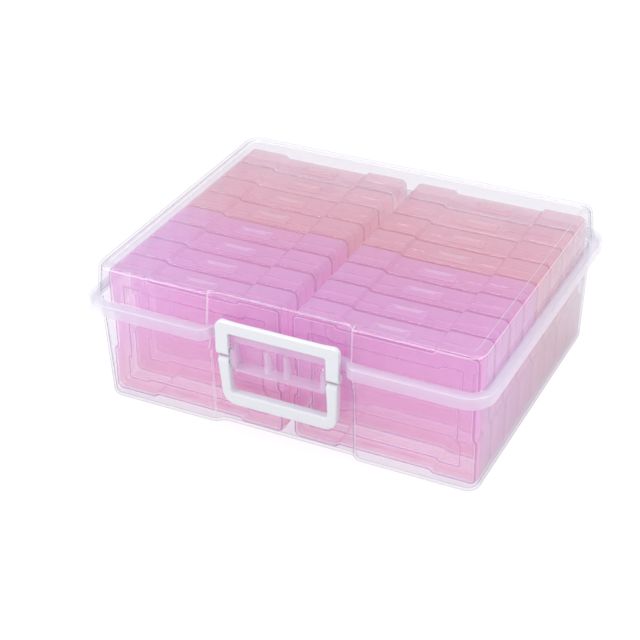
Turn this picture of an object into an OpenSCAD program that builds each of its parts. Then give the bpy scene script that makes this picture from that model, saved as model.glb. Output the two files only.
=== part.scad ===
/* [Inner photo case] */
// Length of one inner case
inner_len = 161; // [150:1:175]
// Height of one inner case, standing on its hinge edge
inner_h = 119; // [116:1:130]
// Thickness of one inner case, both halves together
inner_t = 30.4; // [28:0.2:36]
// Thickness of the lid half
inner_lid_t = 13; // [12:0.5:15]
// Wall round the edge of both halves
inner_wall = 1.8; // [1.7:0.1:2.2]
// Face of both halves
inner_face = 2; // [1.8:0.1:2.6]
// Radius of the outline's corners
inner_r = 6; // [5:0.5:8]
// Step from a corner section down to the recessed middle of an edge
inner_step = 2.8; // [2.8:0.1:3.4]
// Length of a corner section along the long edges
inner_corner_x = 38; // [34:1:44]
// Length of a corner section along the short edges
inner_corner_z = 41; // [34:1:46]
// Chamfer round both faces
inner_chamfer = 2.2; // [1.6:0.1:2.4]
// Distance of the sunk panel from the outline
panel_in = 15; // [12:0.5:20]
// Depth of the sunk panel
panel_sink = 0.8; // [0.5:0.1:1]
// Depth of the lip that enters the lid half
lip_l = 3; // [2:0.5:4]
// How far the lip stands back from the outline
lip_in = 1; // [0.9:0.05:1.1]
// Width of the tongue in the seam
tongue_w = 48; // [44:1:56]
// Reach of the tongue across the seam
tongue_l = 3.5; // [3:0.5:4.5]
// Width of the latch tab
tab_w = 33; // [28:1:38]
// Length of the latch tab across the seam
tab_l = 12; // [11:0.5:14]
// Thickness of the latch tab
tab_t = 1.6; // [1.4:0.1:1.7]
// Width of the ridge on the latch tab
ridge_w = 20; // [16:1:24]
// Width of the ridge's top
ridge_t = 1.5; // [1:0.1:2]
// Height of the ridge over the tab
ridge_h = 0.8; // [0.5:0.1:1.2]
// Length of one hinge knuckle
knuckle_l = 8; // [6:0.5:10]
// Distance of the first knuckle from the middle
knuckle_x = 10; // [8:0.5:14]
// How far a knuckle stays inside the hinge edge
knuckle_in = 0.2; // [0.1:0.05:0.3]
// Clearance between the two halves
inner_fit = 0.15; // [0.1:0.05:0.2]

/* [Rows of inner cases] */
// Gap between the two columns
column_gap = 9.6; // [8:0.2:14]
// Gap between the cases and the side walls
side_gap = 0.8; // [0.6:0.1:2]
// Gap between one row and the next
row_gap = 1.5; // [1:0.1:3]
// Gap between the first row and the front recess
front_gap = 0.6; // [0.5:0.1:2]
// Gap between the last row and the back wall
back_gap = 3.4; // [2:0.1:4]
// Gap under the cases
seat_gap = 0.3; // [0.2:0.1:0.6]
// Room between the cases and the lid
headroom = 4.9; // [4.5:0.1:8]

/* [Outer base] */
// Wall of the tub
tub_wall = 2; // [1.8:0.1:2.4]
// Floor of the tub
tub_floor = 2.4; // [2.2:0.1:3]
// Vertical corner radius of the tub
tub_r = 11.5; // [10:0.5:12]
// Fillet round the bottom
tub_fillet = 4; // [3:0.5:5]
// How far the side walls lean out, from the floor to the rim
draft_x = 2.6; // [2:0.1:4]
// How far the front and back walls lean out
draft_y = 5.5; // [4:0.1:6]
// Height of the tub's rim
rim_z = 98; // [97:0.5:100]
// Thickness of the flange round the tub
flange_t = 2; // [1.6:0.1:2.4]
// Step from the rim down to the flange
flange_drop = 2; // [1.6:0.1:2.4]
// Reach of the flange past the side walls
flange_x = 6.1; // [5:0.1:7]
// Reach of the flange past the front and back walls
flange_y = 8.1; // [7.8:0.1:9]

/* [Front recess] */
// Half width of the recess's flat face
recess_hw = 56; // [55.5:0.5:60]
// Depth of the recess at the floor
recess_low = 5.5; // [5:0.1:6.5]
// Depth of the recess at the rim
recess_high = 3; // [2.8:0.1:3.4]
// How far the recess's face leans out below the slope
recess_lean = 1.3; // [1:0.1:2]
// Height where the slope starts
slope_z0 = 66; // [64:0.5:67]
// Height where the slope ends
slope_z1 = 88; // [86:0.5:89]
// Radius where the front turns into the recess
bend_out = 8; // [7:0.5:9]
// Radius where the recess's face begins
bend_in = 8; // [7:0.5:9]

/* [Outer lid] */
// Wall of the lid
lid_wall = 2.2; // [2:0.1:2.4]
// Gap between the tub's flange and the lid's skirt
rim_gap = 0.5; // [0.5:0.1:0.8]
// Gap between the tub's rim and the lid's ledge
ledge_gap = 0.3; // [0.3:0.1:0.6]
// Height of the skirt
skirt_h = 11; // [10:0.5:11.5]
// Vertical corner radius of the skirt
skirt_r = 22; // [20:0.5:24]
// Gap between the dome's wall and the tub's rim, as seen from above
dome_gap = 0.1; // [0.05:0.05:0.2]
// How far the dome draws in, from the ledge to the top
dome_draft = 2.6; // [2:0.1:3]
// Vertical corner radius of the dome
dome_r = 14; // [13:0.5:16]
// Fillet round the top
dome_fillet = 3.5; // [3:0.5:4]
// Depth of the dome's front recess at the ledge
dome_recess = 6.5; // [6.2:0.1:6.8]
// Width of the border round the sunk top
top_border = 9; // [8:0.5:11]
// Depth of the sunk top
top_sink = 1.2; // [1:0.1:1.6]

/* [Lid hinge] */
// Distance of the two hinges from the middle
hinge_x = 110; // [90:1:120]
// Length of a snap barrel
barrel_l = 34; // [28:1:40]
// Outer radius of a snap barrel
barrel_r = 4.5; // [4.4:0.1:4.8]
// Radius of a hinge pin
hinge_pin_r = 2; // [1.8:0.1:2.2]
// Running clearance on every pin's radius
pin_fit = 0.08; // [0.05:0.01:0.1]
// Height of the hinge axis below the rim
hinge_drop = 14; // [13.8:0.1:15]
// How far the barrels stand out behind the skirt
barrel_out = 0.2; // [0.1:0.1:0.5]
// Width of the snap slot
snap_slot = 2.6; // [2.4:0.1:3]
// Thickness of a hinge ear
ear_t = 3; // [2.5:0.5:4]
// How much smaller than a barrel a hinge ear is
ear_in_r = 0.3; // [0.2:0.05:0.5]
// Side clearance between a barrel and an ear
side_fit = 0.5; // [0.4:0.1:0.8]

/* [Latch and handle] */
// Half width of the latch frame
latch_hw = 54.8; // [52:0.2:56]
// Height of the latch frame above its axis
latch_h = 28; // [26:0.5:30]
// Height of the latch frame's top bar
latch_bar = 10; // [9.5:0.5:12]
// Thickness of the latch plate
latch_t = 5; // [4.6:0.1:5.2]
// Radius of the latch frame's upper corners
latch_r = 5.5; // [4:0.5:7]
// Depth of the lip that hooks over the lid's ledge
hook_l = 3.2; // [2.8:0.1:3.4]
// Height of the hook lip
hook_t = 3; // [2:0.5:4]
// Clearance between the hook lip and the ledge
hook_gap = 0.3; // [0.2:0.1:0.5]
// Clearance between the latch plate and the lid
latch_gap = 0.6; // [0.6:0.1:1]
// Half distance between the latch arms, and between the handle arms
arm_x = 43.5; // [42:0.5:45]
// Radius of the arms' rounded ends
boss_r = 4; // [3.8:0.1:4.2]
// Radius of the latch and handle pins
pin_r = 2.2; // [2:0.1:2.3]
// Length of a latch or handle pin
pin_l = 8; // [7:0.5:8.5]
// Distance of the latch axis below the rim
latch_drop = 16; // [15:0.5:16]
// Distance between the latch axis and the handle axis
pin_pitch = 9.5; // [9.5:0.1:11]
// Half width of the handle at its axis
handle_hw = 53.4; // [52:0.2:55]
// How far each side of the handle tapers in
handle_taper = 1.9; // [1:0.1:2.5]
// Height of the handle below its axis
handle_h = 42; // [40:0.5:46]
// Height of the handle's grip bar
grip_h = 12; // [10:0.5:15]
// Radius of the handle's lower corners
handle_r = 12; // [9:0.5:13]
// Radius in the corners of the handle's opening
handle_in_r = 3; // [2:0.5:5]
// Angle by which the handle leans in at rest
handle_lean = 4; // [2:0.5:4]
// Thickness of the lugs that carry the pins
lug_t = 4; // [3:0.5:5]
// Radius of the lugs round the pins
lug_r = 3; // [2.8:0.1:3.4]
// Side clearance between a lug and an arm
lug_fit = 1; // [0.6:0.1:1.2]
// Thickness of the shelf between the lugs
shelf_t = 2.5; // [2:0.5:3]
// How far the shelf lies below the handle axis
shelf_drop = 6.5; // [6:0.5:7]
// Thickness of the two ribs on the shelf
rib_t = 3; // [2:0.5:4]
// Places of the two ribs from the middle
rib_x = [-12, 5]; // [-30:1:30]
// How far the ribs stand back behind the pins' axis
rib_back = 2; // [1:0.5:3]
// Room between the end of a pin and the end of its bore
bore_end = 0.5; // [0.3:0.1:1]

/* [Hidden] */
rows = 8;
columns = ["l", "r"];

eps = 0.01;
over = 1; // how far a cut runs past the face that it opens
quarter = 90;
orchid = "#D9A9CC";
salmon = "#E0A0A6";
white = "#E9EBF0";
clear = [0.86, 0.84, 0.92, 0.35];

// Widths, from the middle outwards
tub_in_x = column_gap / 2 + inner_len + side_gap;
tub_low_x = tub_in_x + tub_wall;
tub_high_x = tub_low_x + draft_x;
flange_hx = tub_high_x + flange_x;
dome_hx = tub_high_x + lid_wall + dome_gap;

// Depths, from the front to the back
front_d = lid_wall + rim_gap + flange_y + draft_y + recess_low + tub_wall + front_gap;
back_d = back_gap + tub_wall + draft_y + flange_y + rim_gap + lid_wall + barrel_out;
rows_d = rows * inner_t + (rows - 1) * row_gap;
case_d = front_d + rows_d + back_d;
skirt_y0 = -case_d / 2;
flange_y0 = skirt_y0 + lid_wall + rim_gap;
tub_high_y0 = flange_y0 + flange_y;
tub_low_y0 = tub_high_y0 + draft_y;
recess_low_y = tub_low_y0 + recess_low;
recess_mid_y = recess_low_y - recess_lean;
recess_high_y = tub_high_y0 + recess_high;
rows_y0 = recess_low_y + tub_wall + front_gap;
tub_low_y1 = rows_y0 + rows_d + back_gap + tub_wall;
tub_high_y1 = tub_low_y1 + draft_y;
flange_y1 = tub_high_y1 + flange_y;
skirt_y1 = flange_y1 + rim_gap + lid_wall;
notch_y = recess_high_y - rim_gap - lid_wall;
dome_y0 = tub_high_y0 - lid_wall - dome_gap;
dome_y1 = tub_high_y1 + lid_wall + dome_gap;

// Heights, from the floor up
inner_z = tub_floor + seat_gap;
ledge_z0 = rim_z + ledge_gap;
ledge_z1 = ledge_z0 + lid_wall;
skirt_z0 = ledge_z1 - skirt_h;
flange_z1 = rim_z - flange_drop;
flange_z0 = flange_z1 - flange_t;
panel_z0 = inner_z + inner_h + headroom;
panel_z1 = panel_z0 + lid_wall;
top_z = panel_z1 + top_sink;

// Axes
hinge_y = skirt_y1 + barrel_out - barrel_r;
hinge_z = rim_z - hinge_drop;
latch_z = rim_z - latch_drop;
handle_z = latch_z - pin_pitch;
latch_in_y = notch_y - latch_gap;
latch_out_y = latch_in_y - latch_t;
pins_y = latch_out_y + boss_r;
shelf_z = handle_z - shelf_drop;
ear_in = hinge_x - barrel_l / 2 - side_fit;
ear_out = hinge_x + barrel_l / 2 + side_fit;

flange_r = skirt_r - lid_wall - rim_gap;
corner_steps = 6;
bend_steps = 4;

function mix(a, b, f) = a + (b - a) * f;

function arc(cx, cy, r, a0, a1, steps) =
    [for (i = [0 : steps]) let (a = mix(a0, a1, i / steps)) [cx + r * cos(a), cy + r * sin(a)]];

function flip(points) = [for (i = [len(points) - 1 : -1 : 0]) [-points[i][0], points[i][1]]];

function rounded_outline(hx, y0, y1, r) =
    let (right = concat(arc(hx - r, y0 + r, r, -quarter, 0, corner_steps),
                        arc(hx - r, y1 - r, r, 0, quarter, corner_steps)))
    concat(right, flip(right));

// Round-cornered outline with a recess in its front, given by its half width, front, back, corner radius
// and the y of the recess's face. The inset draws it in evenly on every side.
function shell_outline(hx, y0, y1, r, notch, inset = 0) =
    let (a = acos(1 - (notch - y0) / (bend_in + bend_out)),
         ri = bend_in + inset, ro = bend_out - inset, rc = max(r - inset, 1),
         far = recess_hw + (bend_in + bend_out) * sin(a),
         right = concat(
             arc(recess_hw, notch + inset - ri, ri, quarter, quarter - a, bend_steps),
             arc(far, y0 + inset + ro, ro, -quarter - a, -quarter, bend_steps),
             arc(hx - inset - rc, y0 + inset + rc, rc, -quarter, 0, corner_steps),
             arc(hx - inset - rc, y1 - inset - rc, rc, 0, quarter, corner_steps)))
    concat([[0, y1 - inset]], flip(right), right);

// Solid through a stack of outlines, each given as its height and its points. The first point of an
// outline sees all the others, so both ends are fans from it.
module loft(rings) {
    n = len(rings[0][1]);
    last = len(rings) - 1;
    points = [for (ring = rings) for (p = ring[1]) [p[0], p[1], ring[0]]];
    bottom = [[for (i = [0 : n - 1]) i]];
    top = [[for (i = [0 : n - 1]) last * n + (n - i) % n]];
    sides = [for (k = [0 : last - 1]) for (i = [0 : n - 1])
        let (a = k * n + i, b = k * n + (i + 1) % n) each [[a, a + n, b + n], [a, b + n, b]]];
    polyhedron(points, concat(bottom, top, sides));
}

module along_y(y0, y1) {
    translate([0, y1, 0]) rotate([90, 0, 0]) linear_extrude(y1 - y0) children();
}

module along_x(x0, x1) {
    translate([x0, 0, 0]) rotate([90, 0, 90]) linear_extrude(x1 - x0) children();
}

module both_sides() {
    children();
    mirror([1, 0, 0]) children();
}

module block(x0, x1, y0, y1, z0, z1) {
    translate([x0, y0, z0]) cube([x1 - x0, y1 - y0, z1 - z0]);
}

// Outer base

function recess_y(z) = z < slope_z0 ? mix(recess_low_y, recess_mid_y, z / slope_z0)
    : z < slope_z1 ? mix(recess_mid_y, recess_high_y, (z - slope_z0) / (slope_z1 - slope_z0))
    : recess_high_y;

function tub_ring(z, inset) =
    let (f = z / rim_z)
    shell_outline(mix(tub_low_x, tub_high_x, f), mix(tub_low_y0, tub_high_y0, f),
        mix(tub_low_y1, tub_high_y1, f), tub_r, recess_y(z), inset);

module tub() {
    top = rim_z + over;
    difference() {
        loft([[0, tub_ring(0, 0.75 * tub_fillet)],
              [0.3 * tub_fillet, tub_ring(0.3 * tub_fillet, 0.22 * tub_fillet)],
              [tub_fillet, tub_ring(tub_fillet, 0)],
              [slope_z0, tub_ring(slope_z0, 0)],
              [slope_z1, tub_ring(slope_z1, 0)],
              [rim_z, tub_ring(rim_z, 0)]]);
        loft([[tub_floor, tub_ring(tub_floor, tub_wall + seat_gap)],
              [tub_floor + seat_gap, tub_ring(tub_floor + seat_gap, tub_wall)],
              [slope_z0, tub_ring(slope_z0, tub_wall)],
              [slope_z1, tub_ring(slope_z1, tub_wall)],
              [top, tub_ring(top, tub_wall)]]);
    }
}

// The rim's outline; the skirt runs parallel to it, so it is drawn with an inset below zero
function rim_outline(inset) = shell_outline(flange_hx, flange_y0, flange_y1, flange_r, recess_high_y, inset);

module flange() {
    translate([0, 0, flange_z0]) linear_extrude(flange_t) difference() {
        polygon(rim_outline(0));
        polygon(tub_ring(flange_z0, tub_wall / 2));
    }
}

module hinge_ears() {
    low = hinge_z - barrel_r + 2 * ear_in_r;
    both_sides() {
        for (x = [ear_in - ear_t, ear_out]) along_x(x, x + ear_t) {
            translate([hinge_y, hinge_z]) circle(barrel_r - ear_in_r, $fn = 48);
            translate([tub_high_y1 - tub_wall, low])
                square([hinge_y - tub_high_y1 + tub_wall, flange_z0 + flange_t / 4 - low]);
        }
        along_x(ear_in - eps, ear_out + eps) translate([hinge_y, hinge_z]) circle(hinge_pin_r, $fn = 48);
    }
}

module lugs() {
    x1 = arm_x - lug_fit;
    both_sides() {
        along_x(x1 - lug_t, x1) {
            for (z = [latch_z, handle_z]) translate([pins_y, z]) circle(lug_r, $fn = 48);
            translate([pins_y - lug_r, handle_z]) square([2 * lug_r, pin_pitch]);
            polygon([[pins_y, shelf_z - shelf_t], [recess_y(shelf_z) + tub_wall / 2, shelf_z - shelf_t],
                     [recess_y(slope_z1) + tub_wall / 2, slope_z1], [pins_y + lug_r, slope_z1],
                     [pins_y, latch_z + lug_r]]);
        }
        for (z = [latch_z, handle_z]) along_x(x1 - eps, x1 + pin_l) translate([pins_y, z])
            circle(pin_r, $fn = 48);
    }
}

module shelf() {
    x1 = arm_x - lug_fit - lug_t / 2;
    block(-x1, x1, pins_y, recess_y(shelf_z) + tub_wall / 2, shelf_z - shelf_t, shelf_z);
    for (x = rib_x) along_x(x - rib_t / 2, x + rib_t / 2)
        polygon([[pins_y + rib_back, shelf_z - shelf_t / 2],
                 [recess_y(slope_z0) + tub_wall / 2, shelf_z - shelf_t / 2],
                 [recess_y(slope_z0) + tub_wall / 2, slope_z0], [recess_high_y + tub_wall / 2, slope_z1],
                 [pins_y + rib_back, slope_z1]]);
}

module outer_base() {
    color(clear) {
        tub();
        flange();
        hinge_ears();
        lugs();
        shelf();
    }
}

// Outer lid

function dome_ring(z, inset) =
    let (f = (z - ledge_z0) / (top_z - ledge_z0))
    shell_outline(dome_hx - dome_draft * f, dome_y0 + dome_draft * f, dome_y1 - dome_draft * f, dome_r,
        dome_y0 + dome_recess + dome_draft / 2 * f, inset);

module dome() {
    under = top_z - lid_wall;
    difference() {
        union() {
            difference() {
                loft([[ledge_z0, dome_ring(ledge_z0, 0)],
                      [top_z - dome_fillet, dome_ring(top_z - dome_fillet, 0)],
                      [top_z - 0.3 * dome_fillet, dome_ring(top_z - 0.3 * dome_fillet, 0.3 * dome_fillet)],
                      [top_z, dome_ring(top_z, dome_fillet)]]);
                loft([[ledge_z0 - over, dome_ring(ledge_z0 - over, lid_wall)],
                      [under - lid_wall, dome_ring(under - lid_wall, lid_wall)],
                      [under, dome_ring(under, 2 * lid_wall)]]);
            }
            translate([0, 0, panel_z0]) linear_extrude((lid_wall + top_sink) / 2)
                sunk_top(top_border - lid_wall);
        }
        translate([0, 0, panel_z1]) linear_extrude(top_sink + over) sunk_top(top_border);
    }
}

module sunk_top(border) {
    inset = dome_draft + border;
    polygon(rounded_outline(dome_hx - inset, dome_y0 + inset, dome_y1 - inset, dome_fillet + dome_draft));
}

module skirt_outline(inset) {
    polygon(rim_outline(inset - lid_wall - rim_gap));
}

module ledge_and_skirt() {
    translate([0, 0, ledge_z0]) linear_extrude(lid_wall) difference() {
        skirt_outline(lid_wall / 2);
        polygon(dome_ring(ledge_z0, lid_wall / 2));
    }
    translate([0, 0, skirt_z0]) linear_extrude(skirt_h) difference() {
        skirt_outline(0);
        skirt_outline(lid_wall);
    }
}

module barrels() {
    both_sides() along_x(hinge_x - barrel_l / 2, hinge_x + barrel_l / 2) difference() {
        union() {
            translate([hinge_y, hinge_z]) circle(barrel_r, $fn = 64);
            translate([skirt_y1 - lid_wall, hinge_z]) square([lid_wall, ledge_z0 - hinge_z]);
        }
        translate([hinge_y, hinge_z]) circle(hinge_pin_r + pin_fit, $fn = 64);
        translate([hinge_y - snap_slot / 2, hinge_z - barrel_r - over]) square([snap_slot, barrel_r + over]);
    }
}

module outer_lid() {
    color(clear) {
        dome();
        ledge_and_skirt();
        barrels();
    }
}

// Latch and handle

module arm_bores(z) {
    both_sides() along_x(arm_x - over, arm_x - lug_fit + pin_l + bore_end) translate([pins_y, z])
        circle(pin_r + pin_fit, $fn = 64);
}

module latch_plate() {
    top = latch_z + latch_h;
    inner = top - latch_bar;
    difference() {
        union() {
            translate([-latch_hw, latch_z]) square([2 * latch_hw, latch_h - latch_r]);
            translate([latch_r - latch_hw, latch_z]) square([2 * (latch_hw - latch_r), latch_h]);
            for (x = [-1, 1]) translate([x * (latch_hw - latch_r), top - latch_r]) circle(latch_r, $fn = 48);
        }
        translate([-arm_x, latch_z - over]) square([2 * arm_x, inner - latch_z + over]);
    }
}

module latch_frame() {
    hook_z = ledge_z1 + hook_gap;
    color(white) difference() {
        union() {
            along_y(latch_out_y, latch_in_y) latch_plate();
            both_sides() along_x(arm_x, latch_hw) translate([pins_y, latch_z]) circle(boss_r, $fn = 64);
            block(lug_t - arm_x, arm_x - lug_t, latch_in_y - eps, latch_in_y + hook_l,
                hook_z, hook_z + hook_t);
        }
        arm_bores(latch_z);
    }
}

module handle_outline() {
    low = handle_z - handle_h;
    foot = handle_hw - handle_taper;
    right = concat(
        arc(foot - handle_r, low + handle_r, handle_r, -quarter, 0, 2 * bend_steps),
        [[handle_hw, handle_z], [arm_x, handle_z]],
        arc(arm_x - handle_in_r, low + grip_h + handle_in_r, handle_in_r, 0, -quarter, bend_steps));
    polygon(concat(right, flip(right)));
}

module carry_handle() {
    color(white) translate([0, pins_y, handle_z]) rotate([handle_lean, 0, 0])
        translate([0, -pins_y, -handle_z]) difference() {
            union() {
                along_y(pins_y - boss_r, pins_y + boss_r) handle_outline();
                both_sides() along_x(arm_x, handle_hw) translate([pins_y, handle_z])
                    circle(boss_r, $fn = 64);
            }
            arm_bores(handle_z);
        }
}

// Inner cases, each drawn with its front face at y = 0 and its hinge edge at z = 0

function inner_outline(inset) =
    let (k = inset * tan(22.5), hx = inner_len / 2 - inset, s = inner_step,
         rc = max(inner_r - inset, 1.5), x = inner_len / 2 - inner_corner_x + k,
         z0 = inner_corner_z - k, z1 = inner_h - inner_corner_z + k, top = inner_h - inset,
         right = concat(
             [[x - s, inset + s], [x, inset]],
             arc(hx - rc, inset + rc, rc, -quarter, 0, bend_steps),
             [[hx, z0], [hx - s, z0 + s], [hx - s, z1 - s], [hx, z1]],
             arc(hx - rc, top - rc, rc, 0, quarter, bend_steps),
             [[x, top], [x - s, top - s]]))
    concat(right, flip(right));

function chamfered(a0, a1, b0, b1, c) =
    [[a0 + c, b0], [a1 - c, b0], [a1, b0 + c], [a1, b1 - c], [a1 - c, b1], [a0 + c, b1], [a0, b1 - c],
     [a0, b0 + c]];

module inner_block(y0, y1) {
    hx = inner_len / 2;
    intersection() {
        along_y(y0, y1) polygon(inner_outline(0));
        linear_extrude(inner_h) polygon(chamfered(-hx, hx, 0, inner_t, inner_chamfer));
        along_x(-hx, hx) polygon(chamfered(0, inner_t, 0, inner_h, inner_chamfer));
    }
}

module knuckles(x0, y0, y1, bore) {
    r = inner_step / 2 - knuckle_in;
    both_sides() difference() {
        along_x(x0, x0 + knuckle_l) {
            translate([inner_lid_t, inner_step / 2]) circle(r, $fn = 12);
            translate([y0, inner_step / 2]) square([y1 - y0, inner_step / 2 + inner_wall / 2]);
        }
        if (bore) along_x(x0 - over, x0 + knuckle_l + over) translate([inner_lid_t, inner_step / 2])
            circle(r / 2 + inner_fit, $fn = 12);
    }
}

module inner_body() {
    seam = inner_lid_t;
    top = inner_h - inner_step;
    root = lip_l / 6;
    difference() {
        inner_block(seam, inner_t);
        along_y(seam - over, inner_t - inner_face) polygon(inner_outline(inner_wall));
        along_y(inner_t - panel_sink, inner_t + over) polygon(inner_outline(panel_in));
    }
    along_y(seam - lip_l, seam + root) difference() {
        polygon(inner_outline(lip_in));
        polygon(inner_outline(inner_wall));
    }
    block(-tongue_w / 2, tongue_w / 2, seam - tongue_l, seam + root, top - inner_wall, top);
    knuckles(knuckle_x, seam, seam + inner_step / 2 - knuckle_in, true);
}

module inner_lid() {
    seam = inner_lid_t;
    edge = seam - inner_fit;
    top = inner_h - inner_step;
    notch = tongue_w / 2 + inner_fit;
    tab_y0 = seam - 2 * tab_l / 3;
    hook_x = knuckle_x + knuckle_l + 2 * inner_fit;
    difference() {
        inner_block(0, edge);
        along_y(inner_face, seam + over) polygon(inner_outline(inner_wall));
        along_y(edge - lip_l - inner_fit, seam + over) polygon(inner_outline(lip_in - inner_fit));
        block(-notch, notch, seam - tongue_l - inner_fit, seam + over, top - 2 * inner_wall, inner_h);
        along_y(-over, panel_sink) polygon(inner_outline(panel_in));
    }
    block(-tab_w / 2, tab_w / 2, tab_y0, seam - tongue_l - 2 * inner_fit, top - inner_wall / 2, top + tab_t);
    block(-tab_w / 2, tab_w / 2, tab_y0, tab_y0 + tab_l, top + inner_fit, top + inner_fit + tab_t);
    block(-ridge_w / 2, ridge_w / 2, seam - ridge_t / 2, seam + ridge_t / 2,
        top + tab_t, top + tab_t + ridge_h);
    knuckles(hook_x, seam - inner_step / 2 + knuckle_in, edge, false);
    both_sides() along_x(hook_x - knuckle_l / 2, hook_x + over)
        translate([seam, inner_step / 2]) circle((inner_step / 2 - knuckle_in) / 2, $fn = 12);
}

module inner_case(column, row, half) {
    side = column == "l" ? -1 : 1;
    tint = row <= rows / 2 ? orchid : salmon;
    place = [side * (column_gap + inner_len) / 2, rows_y0 + (row - 1) * (inner_t + row_gap), inner_z];
    color(tint) translate(place) {
        if (half == "body") inner_body();
        else inner_lid();
    }
}

outer_base();
outer_lid();
latch_frame();
carry_handle();
for (c = columns) for (r = [1 : rows]) for (half = ["body", "lid"])
    inner_case(c, r, half);
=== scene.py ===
# %% [markdown]
# A photo keeper case: a clear carrying case with sixteen slim pink photo cases standing in it.
# The imported CAD model is the frame. It says where every piece sits and how far it reaches, so the
# first cell loads it.

# %% Load the frame
import math

import bmesh
import bpy
from mathutils import Matrix, Vector


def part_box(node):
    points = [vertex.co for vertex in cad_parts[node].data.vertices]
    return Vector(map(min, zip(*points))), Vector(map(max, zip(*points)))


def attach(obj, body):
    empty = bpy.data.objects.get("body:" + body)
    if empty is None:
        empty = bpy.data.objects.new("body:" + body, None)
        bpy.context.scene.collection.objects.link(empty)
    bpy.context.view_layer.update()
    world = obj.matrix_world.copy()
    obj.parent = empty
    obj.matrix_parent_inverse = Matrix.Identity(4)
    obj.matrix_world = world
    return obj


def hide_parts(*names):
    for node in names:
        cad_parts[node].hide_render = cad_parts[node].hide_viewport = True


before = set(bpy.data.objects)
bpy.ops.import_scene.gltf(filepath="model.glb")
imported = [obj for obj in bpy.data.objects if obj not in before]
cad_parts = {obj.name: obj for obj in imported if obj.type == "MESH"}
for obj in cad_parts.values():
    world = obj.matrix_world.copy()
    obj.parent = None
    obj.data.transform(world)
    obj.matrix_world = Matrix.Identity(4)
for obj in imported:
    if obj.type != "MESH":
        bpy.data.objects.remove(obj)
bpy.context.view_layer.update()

MM = 0.001

# %% [markdown]
# The camera looks down on the front right corner, from 1.4 metres away. A long lens keeps the
# box's edges nearly parallel, as in a catalogue picture. The lens shift moves the object a little
# to the right and up, as the photo frames it. The lens and the shift were measured in pixels of
# the picture, so they are kept that way and turned into the camera's own units.

# %% Camera
IMAGE_PX = 640
SENSOR_MM = 36
AZIMUTH = math.radians(25.08)
ELEVATION = math.radians(30.83)
DISTANCE = 1.422
FOCAL_PX = 1640.6
TARGET = Vector((0, 0, 0.065))
SHIFT_PX = (33.1, 20.5)
FARTHEST_SEEN = 20

camera_data = bpy.data.cameras.new("camera")
camera = bpy.data.objects.new("camera", camera_data)
bpy.context.collection.objects.link(camera)
flat = DISTANCE * math.cos(ELEVATION)
camera.location = TARGET + Vector((flat * math.sin(AZIMUTH), -flat * math.cos(AZIMUTH),
                                   DISTANCE * math.sin(ELEVATION)))
camera.rotation_euler = (math.radians(90) - ELEVATION, 0, AZIMUTH)
camera_data.lens = FOCAL_PX / IMAGE_PX * SENSOR_MM
camera_data.sensor_width = SENSOR_MM
camera_data.shift_x = -SHIFT_PX[0] / IMAGE_PX
camera_data.shift_y = -SHIFT_PX[1] / IMAGE_PX
camera_data.clip_end = FARTHEST_SEEN
bpy.context.scene.camera = camera
print("camera: a lens of", round(camera_data.lens, 1), "mm,", DISTANCE, "m from the middle of the case")

# %% [markdown]
# Everything here is injection moulded polypropylene. Its colours are read as sRGB hex values, which
# one function turns into the linear light that shaders work in. One more function adds a node,
# gives it its settings and links it, so that each material reads as a short recipe. It takes an
# input by its name, or by its number where several inputs share a name: _0 is the first.

# %% Helpers for materials
def linear(code):
    channels = [int(code[i:i + 2], 16) / 255 for i in (1, 3, 5)]
    return [c / 12.92 if c <= 0.04045 else ((c + 0.055) / 1.055) ** 2.4 for c in channels] + [1.0]


def add_node(tree, kind, settings=None, **inputs):
    node = tree.nodes.new(kind)
    for name, value in (settings or {}).items():
        setattr(node, name, value)
    for name, value in inputs.items():
        key = int(name[1:]) if name.startswith("_") else name.replace("_", " ")
        if isinstance(value, bpy.types.NodeSocket):
            tree.links.new(value, node.inputs[key])
        else:
            node.inputs[key].default_value = value
    return node


def new_material(name):
    material = bpy.data.materials.new(name)
    material.use_nodes = True
    material.node_tree.nodes.clear()
    return material, material.node_tree


# %% [markdown]
# Clear polypropylene is not glass. A thin wall lets most light straight through, scatters a little,
# and turns milky and shiny where it is seen edge on, because the eye then looks through more of it.
# The wall is drawn as a see-through filter that goes over to a soft scatter and to a gloss as the
# surface turns away. A filter does not bend light, which a 2 mm wall hardly does either, and it
# stays free of noise through dozens of layers. Each wall has two skins, and only the outer one
# scatters, so that a wall counts once. The mould leaves a faint waviness, drawn as a bump with
# waves about 18 mm long, and a polish that varies in a grain of 1.5 mm.

# %% Polypropylene that light passes through
IOR = 1.49
SKINS_IN_TEN_WALLS = 20
WAVE_LENGTH = 18 * MM
WAVE_DEPTH = 0.6 * MM
GRAIN_LENGTH = 1.5 * MM
RIM_POWER = 6.0
FOOT_LOW, FOOT_HIGH = 12 * MM, 56 * MM


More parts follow.
